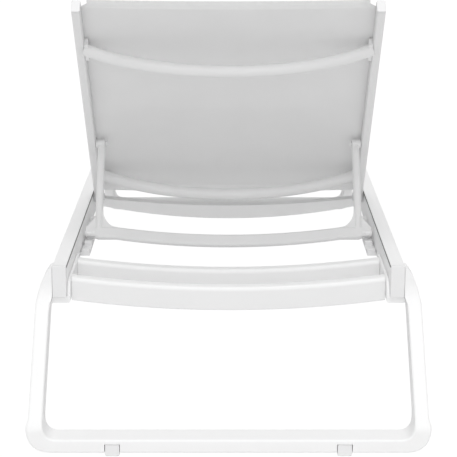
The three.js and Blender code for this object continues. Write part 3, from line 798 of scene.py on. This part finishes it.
def sling_shell(half_width, start, end, place, sag, face, head_half=None, notch=0.0):
    """A thin closed cloth with a double hem at both ends. place(x, along, across) gives the point.

    The last stretch of length notch is only head_half wide to each side. The columns outside it
    are kept a hair apart there, so that no two points become one.
    """
    columns = spaced(-half_width, half_width, 60)
    hem_flat = HEM - 1.2
    hem_insets = (0, 0.6, FOLD_LENGTH, 3.5, 10, HEM - 2.5, hem_flat, HEM)
    past_hem = HEM + 1.5
    rows = [start + d for d in hem_insets]
    rows += spaced(start + past_hem, end - past_hem, 60)
    rows += [end - d for d in reversed(hem_insets)]
    points, faces = [], []
    for side in (1, -1):
        for row in rows:
            inset = min(row - start, end - row)
            edge = math.sqrt(max(0.0, 1 - (1 - min(1.0, inset / FOLD_LENGTH)) ** 2))
            hem = 1.0 if inset <= hem_flat else max(0.0, 1 - (inset - hem_flat) / HEM_SLOPE)
            narrow = head_half is not None and row > end - notch
            for column in columns:
                x = max(-head_half, min(head_half, column)) + 0.001 * column if narrow else column
                dip = sag * (1 - (x / half_width) ** 2)
                near_rail = min(1.0, (half_width - abs(x)) / 12)
                thick = CLOTH_HALF + HEM_EXTRA * hem * near_rail
                points.append(place(x, row, face + dip + side * thick * max(0.15, edge)))
    wide = len(columns)
    count = len(rows) * wide
    for i in range(len(rows) - 1):
        for j in range(wide - 1):
            a = i * wide + j
            faces.append((a, a + 1, a + wide + 1, a + wide))
            faces.append((count + a, count + a + wide, count + a + wide + 1, count + a + 1))
    border = list(range(wide))
    border += [i * wide + wide - 1 for i in range(1, len(rows))]
    border += [(len(rows) - 1) * wide + j for j in range(wide - 2, -1, -1)]
    border += [i * wide for i in range(len(rows) - 2, 0, -1)]
    for a, b in zip(border, border[1:] + border[:1]):
        faces.append((a, count + a, count + b, b))
    return points, faces


def stitch(x, row, base, side, place):
    """One short length of thread that swells between its two ends."""
    half_length, half_width, height = 1.7, 0.5, 0.35
    rings = []
    for share in (-1, -0.6, 0, 0.6, 1):
        swell = math.sqrt(1 - (0.92 * share) ** 2)
        ring = []
        for a in spaced(0, FULL_TURN, 6)[:-1]:
            along = row + half_width * swell * math.cos(a)
            across = base + side * height * swell * math.sin(a)
            ring.append(place(x + half_length * share, along, across))
        rings.append(ring)
    return loft(rings)


def stitches(half_width, rows, place, sag, face):
    """Rows of stitches, lying on both faces of the cloth."""
    parts = []
    for row in rows:
        for x in spaced(-half_width + STITCH_MARGIN, half_width - STITCH_MARGIN, STITCH_GAPS):
            dip = sag * (1 - (x / half_width) ** 2)
            for side in (1, -1):
                parts.append(stitch(x, row, face + dip + side * STITCH_LIFT, side, place))
    return merged(*parts)


def on_seat(x, y, up):
    return (x, REAR + y, SLING_Z - up)


seat_half = GROOVE_X - SPLINE_RADIUS - GAP
seat_cloth = build(
    "seat_mesh_sling", sling_shell(seat_half, SEAT_START, SEAT_END, on_seat, SEAT_SAG, 0.0),
    "frame", seat_weave, ["seat_sling"])
hem_rows = (HEM - 6, HEM - 10)
seat_rows = [SEAT_START + d for d in hem_rows] + [SEAT_END - d for d in hem_rows]
seat_thread = build(
    "seat_sling_stitching", stitches(seat_half, seat_rows, on_seat, SEAT_SAG, 0.0),
    "frame", thread)

back_half = BACK_GROOVE_X - BACK_SPLINE_RADIUS - GAP
back_end = BACK_LENGTH + BACK_CAP + HEAD_PROUD
back_shell = sling_shell(
    back_half, BACK_GROOVE_START, back_end, on_back, BACK_SAG, BACK_GROOVE_T,
    head_half=BACK_INNER - 12, notch=HEAD_NOTCH + HEAD_PROUD)
back_cloth = build(
    "backrest_mesh_sling", back_shell, "backrest", back_weave, ["backrest_sling"])
back_rows = [BACK_GROOVE_START + d for d in hem_rows] + [back_end - d for d in hem_rows]
back_thread = build(
    "backrest_sling_stitching", stitches(back_half, back_rows, on_back, BACK_SAG, BACK_GROOVE_T),
    "backrest", thread)

for name in ("seat_spline_left", "seat_spline_right", "backrest_spline_left", "backrest_spline_right"):
    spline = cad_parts[name]
    spline.data.materials.clear()
    spline.data.materials.append(cord_skin)


# ---- Hinge pins, washers and prop pivots ------------------------------------------------

def headed_pin(radius, head, height, x0, x1, place):
    """A pin from x0 to x1 with a head dished in its middle and rounded at its rim."""
    rim = 1.2
    profile = [(x0 + 0.9, 0.4), (x0 + 0.35, head * 0.35), (x0 + 0.05, head * 0.6), (x0, head * 0.72)]
    for a in spaced(0.2, HALF_PI, 5):
        profile.append((x0 + rim * (1 - math.cos(a)), head - rim + rim * math.sin(a)))
    profile += [(x0 + height - 0.3, head), (x0 + height, head - 0.3), (x0 + height, radius)]
    profile += [(x1 - 0.5, radius), (x1, radius - 0.5)]
    return lathe(profile, place)


def at_hinge(along, across, up):
    return (along, HINGE_Y + across, HINGE_Z + up)


def at_pivot(along, across, up):
    return (along, PIVOT[1] + across, PIVOT[2] + up)


hinge_pin = headed_pin(5.0, 8.5, 3.5, BACK_INNER - 3.8, RAIL_INNER - GAP, at_hinge)
build_pair("hinge_bolt", hinge_pin, "frame", steel, "hinge_pin")

washer_in, washer_out = BACK_OUTER + GAP, RAIL_INNER - GAP
washer_profile = [(washer_in, 5.3), (washer_in, 10.4), (washer_in + 0.5, 11), (washer_out - 0.5, 11),
                  (washer_out, 10.4), (washer_out, 5.3)]
washer = loft([
    [at_hinge(along, radius * math.cos(a), radius * math.sin(a)) for along, radius in washer_profile]
    for a in spaced(0, FULL_TURN, 40)[:-1]
], closed=True)
build_pair("hinge_spacer", washer, "frame", moulded, "hinge_washer")

pivot_pin = headed_pin(4.0, 6.5, 3.0, PROP_LEG_X - 12, BACK_OUTER, at_pivot)
# The prop bolts take the darker copy of the frame paint: painted shade.
build_pair("prop_bolt", pivot_pin, "backrest", back_powder_with_painted_shade, "prop_pivot_pin")


# ---- Backrest frame ---------------------------------------------------------------------

def back_rail():
    """A rail with a rounded foot, and above that a round groove behind a narrow mouth."""
    top = BACK_DEPTH / 2
    opening = 2.73
    stations = [(-top * math.cos(a), math.sin(a)) for a in spaced(0.12, HALF_PI, 9)]
    stations += [(s, 1.0) for s in (6, BACK_GROOVE_START - 0.2, BACK_GROOVE_START + 0.2)]
    stations += [(s, 1.0) for s in spaced(40, BACK_LENGTH, 20)]
    rings = []
    for s, share in stations:
        half = top * share
        corner = 3.2 * share
        deep = s > BACK_GROOVE_START
        mouth = BACK_GROOVE_MOUTH * (0.4 + 0.6 * share)
        centre = BACK_GROOVE_T * share
        groove = []
        for a in spaced(-opening, opening, 12):
            if deep:
                x = BACK_GROOVE_X + BACK_GROOVE_RADIUS * math.cos(a)
                groove.append((x, centre + BACK_GROOVE_RADIUS * math.sin(a)))
            else:
                groove.append((BACK_INNER, centre + mouth * a / opening))
        outline = fillet([
            (BACK_INNER, centre + mouth, 0),
            (BACK_INNER, half, corner),
            (BACK_OUTER, half, corner),
            (BACK_OUTER, -half, corner),
            (BACK_INNER, -half, min(1.4, corner)),
            (BACK_INNER, centre - mouth, 0),
        ], 5)
        outline += groove
        rings.append([on_back(x, s, t) for x, t in outline])
    return loft(rings)


rail_bar = back_rail()
# The backrest rails take the darker copy of the frame paint: painted shade.
build_pair("back_rail", rail_bar, "backrest", back_powder_with_painted_shade, "backrest_rail")


def along_back(a, b, c):
    return on_back(a, c, b)


back_cap = prism(
    box_outline(BACK_INNER, BACK_OUTER, -BACK_DEPTH / 2, BACK_DEPTH / 2, 3.2, 5),
    along_back, BACK_LENGTH + GAP, BACK_LENGTH + GAP + BACK_CAP)
build_pair("back_cap", back_cap, "backrest", moulded, "backrest_rail_cap", 1.0)


def back_bar(s):
    """A round bar that bows to the rear between the backrest's rails."""
    end = BACK_INNER - 2.5
    root = 10
    reach = root + BACK_BAR_BOW * 4 / 3
    sweep = [(-end, root), (-end / 2, reach), (end / 2, reach), (end, root)]
    step = 0.001
    rings = []
    for t in spaced(0, 1, 56):
        x, depth = bezier(sweep, t)
        tangent = (bezier(sweep, t + step) - bezier(sweep, t - step)).normalized()
        ring = []
        for a in spaced(0, FULL_TURN, 24)[:-1]:
            up = BACK_BAR_RADIUS * math.cos(a)
            out = BACK_BAR_RADIUS * math.sin(a)
            ring.append(on_back(x - tangent.y * out, s + up, depth + tangent.x * out))
        rings.append(ring)
    return loft(rings)


def flange(s):
    """The end plate of a back bar, flat against the rail's inner face."""
    low = s - FLANGE_DROP - FLANGE_LENGTH / 2
    outline = box_outline(low, low + FLANGE_LENGTH, -6, 13.5, 2.5, 5)

    def place(a, b, c):
        return on_back(c, a, b)
    return prism(outline, place, BACK_INNER - 7.5, BACK_INNER - GAP)


# The backrest bars take the darker copy of the frame paint: painted shade.
for name, s in (("backrest_upper_bar", UPPER_BAR_S), ("backrest_lower_bar", LOWER_BAR_S)):
    plate = flange(s)
    build(name.replace("backrest", "back"), back_bar(s), "backrest", back_powder_with_painted_shade, [name],
          cut=("UNION", merged(plate, mirrored(plate))))


# ---- Prop -------------------------------------------------------------------------------

LEG_HALF = PROP_LEG / 2
PROP_OUTER = PROP_LEG_X + LEG_HALF
PROP_INNER = PROP_LEG_X - LEG_HALF
PROP_BAR_TOP = PROP_LENGTH - PROP_BAR / 2
PROP_BAR_BOTTOM = PROP_LENGTH + PROP_BAR / 2


def prop_bar():
    """The bowed cross piece, as high as the bar and rounded along its edges."""
    places = spaced(-PROP_OUTER, -PROP_FLAT_END, 6)
    places += spaced(-PROP_FLAT_END, PROP_FLAT_END, 48)[1:]
    places += spaced(PROP_FLAT_END, PROP_OUTER, 6)[1:]
    rings = []
    for x in places:
        dip = PROP_BOW * max(0.0, 1 - (x / PROP_FLAT_END) ** 2)
        shrink = max(0.0, abs(x) - PROP_OUTER + 6) ** 2 / 12
        foot = PROP_BAR_BOTTOM + dip - shrink
        outline = box_outline(PROP_BAR_TOP + dip, foot, -LEG_HALF, LEG_HALF, 5.0, 6)
        rings.append([on_prop(x, d, w) for d, w in outline])
    return loft(rings)


def prop_leg():
    outline = box_outline(PROP_INNER, PROP_OUTER, -LEG_HALF, LEG_HALF, 6.4, 7)
    stations = [-LEG_HALF * 0.6] + spaced(0, PROP_LENGTH, 10)

    def place(x, w, d):
        return on_prop(x, d, w)
    return loft([[place(x, w, d) for x, w in outline] for d in stations])


def prop_plates():
    """Flat plates in the corners on both sides of the leg, thinner than the leg and the bar."""
    plate_top = PROP_BAR_TOP - PROP_PLATE_RISE
    plate_start = PROP_INNER - PROP_PLATE_WIDTH
    sunk = 4
    curve = [
        (PROP_INNER, plate_top), (PROP_INNER, PROP_BAR_TOP - 18),
        (PROP_INNER - 14, PROP_BAR_TOP), (plate_start, PROP_BAR_TOP),
    ]
    inner = [tuple(bezier(curve, t)) for t in spaced(0, 1, 16)]
    inner += [
        (plate_start, PROP_BAR_TOP + 5), (PROP_INNER + sunk, PROP_BAR_TOP + 5),
        (PROP_INNER + sunk, plate_top),
    ]
    plate_end = PROP_END_X - 2
    outer = fillet([
        (PROP_OUTER - sunk, PROP_BAR_TOP - PROP_PLATE_EAR, 0),
        (PROP_OUTER, PROP_BAR_TOP - PROP_PLATE_EAR, 0),
        (plate_end, PROP_BAR_TOP, 3.0),
        (plate_end, PROP_LENGTH + PROP_PLATE_FOOT, 1.5),
        (PROP_OUTER - sunk, PROP_LENGTH + PROP_PLATE_FOOT, 0),
    ])

    def place(x, d, w):
        return on_prop(x, d, w)
    half = PROP_PLATE / 2
    return prism(inner, place, -half, half), prism(outer, place, -half, half)


def prop_ends():
    """The round head at the pivot, the stub that stands over the rack and the rivet beside it."""
    def at_head(along, across, up):
        return on_prop(along, -up, across)

    def at_stub(along, across, up):
        return on_prop(along, PROP_LENGTH - up, across)

    def at_rivet(along, across, up):
        return on_prop(PROP_RIVET_X + across, PROP_LENGTH - up, -along)

    x0, x1 = PROP_INNER + 1, BACK_INNER - 0.5
    head = lathe([(x0, 8.4), (x0 + 0.6, 9), (x1 - 0.6, 9), (x1, 8.4)], at_head)
    face = PROP_PLATE / 2
    rivet = lathe([
        (face - 1, 6.6), (face + 0.9, 6.6), (face + 1.5, 6.1), (face + 1.6, 5.2), (face + 1.2, 4.6),
        (face + 1.2, 0.5),
    ], at_rivet)
    stub = lathe([(PROP_LEG_X, PROP_PIN), (PROP_END_X - 1, PROP_PIN), (PROP_END_X, PROP_PIN - 1)], at_stub)
    return head, stub, rivet


# The prop takes the darker copy of the frame paint: painted shade under the backrest.
prop = build("prop", prop_bar(), "prop", back_powder_with_painted_shade, ["prop_frame"])
for solid in (prop_leg(), *prop_plates()):
    apply_cut(prop, ("UNION", merged(solid, mirrored(solid))))
smooth_shading(prop)
ends = prop_ends()
# The prop's boss and rivets take the darker copy of the frame paint: painted shade.
for side, (head, stub, rivet) in (("right", ends), ("left", [mirrored(end) for end in ends])):
    build(f"prop_boss_{side}", head, "prop", back_powder_with_painted_shade)
    build(f"prop_stub_{side}", stub, "prop", moulded)
    build(f"prop_rivet_{side}", rivet, "prop", back_powder_with_painted_shade)


# ---- Stage, light and camera ------------------------------------------------------------

FLOOR_REACH_M = 40.0
SOFT_ANGLE = math.radians(30)
CAMERA_DOWN = math.radians(13.8)
CAMERA_PLACE_M = (0.0, -3.695, 1.0796)


def stage_floor():
    """A pale floor that is lit like matt paint and seen as bright as the backdrop."""
    mesh = bpy.data.meshes.new("floor")
    turns = ((-1, -1), (1, -1), (1, 1), (-1, 1))
    corners = [(x * FLOOR_REACH_M, y * FLOOR_REACH_M, 0) for x, y in turns]
    mesh.from_pydata(corners, [], [(0, 1, 2, 3)])
    floor = bpy.data.objects.new("floor", mesh)
    bpy.context.scene.collection.objects.link(floor)
    material, tree, shader = new_material("pale_floor")
    tree.nodes.remove(shader)
    diffuse = node(tree, "ShaderNodeBsdfDiffuse")
    diffuse.inputs["Color"].default_value = (0.9, 0.9, 0.9, 1)
    glow = node(tree, "ShaderNodeEmission")
    glow.inputs["Color"].default_value = (1, 1, 1, 1)
    glow.inputs["Strength"].default_value = 1.05
    seen = node(tree, "ShaderNodeLightPath")
    share = math_node(tree, "MULTIPLY", seen.outputs["Is Camera Ray"], 0.95)
    mix = node(tree, "ShaderNodeMixShader")
    tree.links.new(share, mix.inputs[0])
    tree.links.new(diffuse.outputs[0], mix.inputs[1])
    tree.links.new(glow.outputs[0], mix.inputs[2])
    tree.links.new(mix.outputs[0], tree.nodes["Material Output"].inputs["Surface"])
    mesh.materials.append(material)


stage_floor()

world = bpy.data.worlds.new("studio")
bpy.context.scene.world = world
world.use_nodes = True
tree = world.node_tree
backdrop = tree.nodes["Background"]
backdrop.inputs["Color"].default_value = (1, 1, 1, 1)
seen = node(tree, "ShaderNodeLightPath")
strength = math_node(tree, "MULTIPLY_ADD", seen.outputs["Is Camera Ray"], 0.47, 0.56)
tree.links.new(strength, backdrop.inputs["Strength"])

for name, energy, direction in (
    ("key_from_behind", 0.49, (0.0, 0.7, -0.7)),
    ("overhead", 0.87, (0.0, 0.05, -1.0)),
    ("low_fill", 0.32, (0.0, 0.97, -0.22)),
):
    sun = bpy.data.lights.new(name, "SUN")
    sun.energy = energy
    sun.angle = SOFT_ANGLE
    lamp = bpy.data.objects.new(name, sun)
    bpy.context.scene.collection.objects.link(lamp)
    lamp.rotation_euler = Vector(direction).to_track_quat("-Z", "Y").to_euler()

view = bpy.data.cameras.new("camera")
view.sensor_width = 36.0
view.lens = 130.4
camera = bpy.data.objects.new("camera", view)
bpy.context.scene.collection.objects.link(camera)
camera.location = CAMERA_PLACE_M
camera.rotation_euler = (HALF_PI - CAMERA_DOWN, 0, 0)
view.clip_start, view.clip_end = 0.05, 200.0
bpy.context.scene.camera = camera
bpy.context.scene.view_settings.view_transform = "Standard"
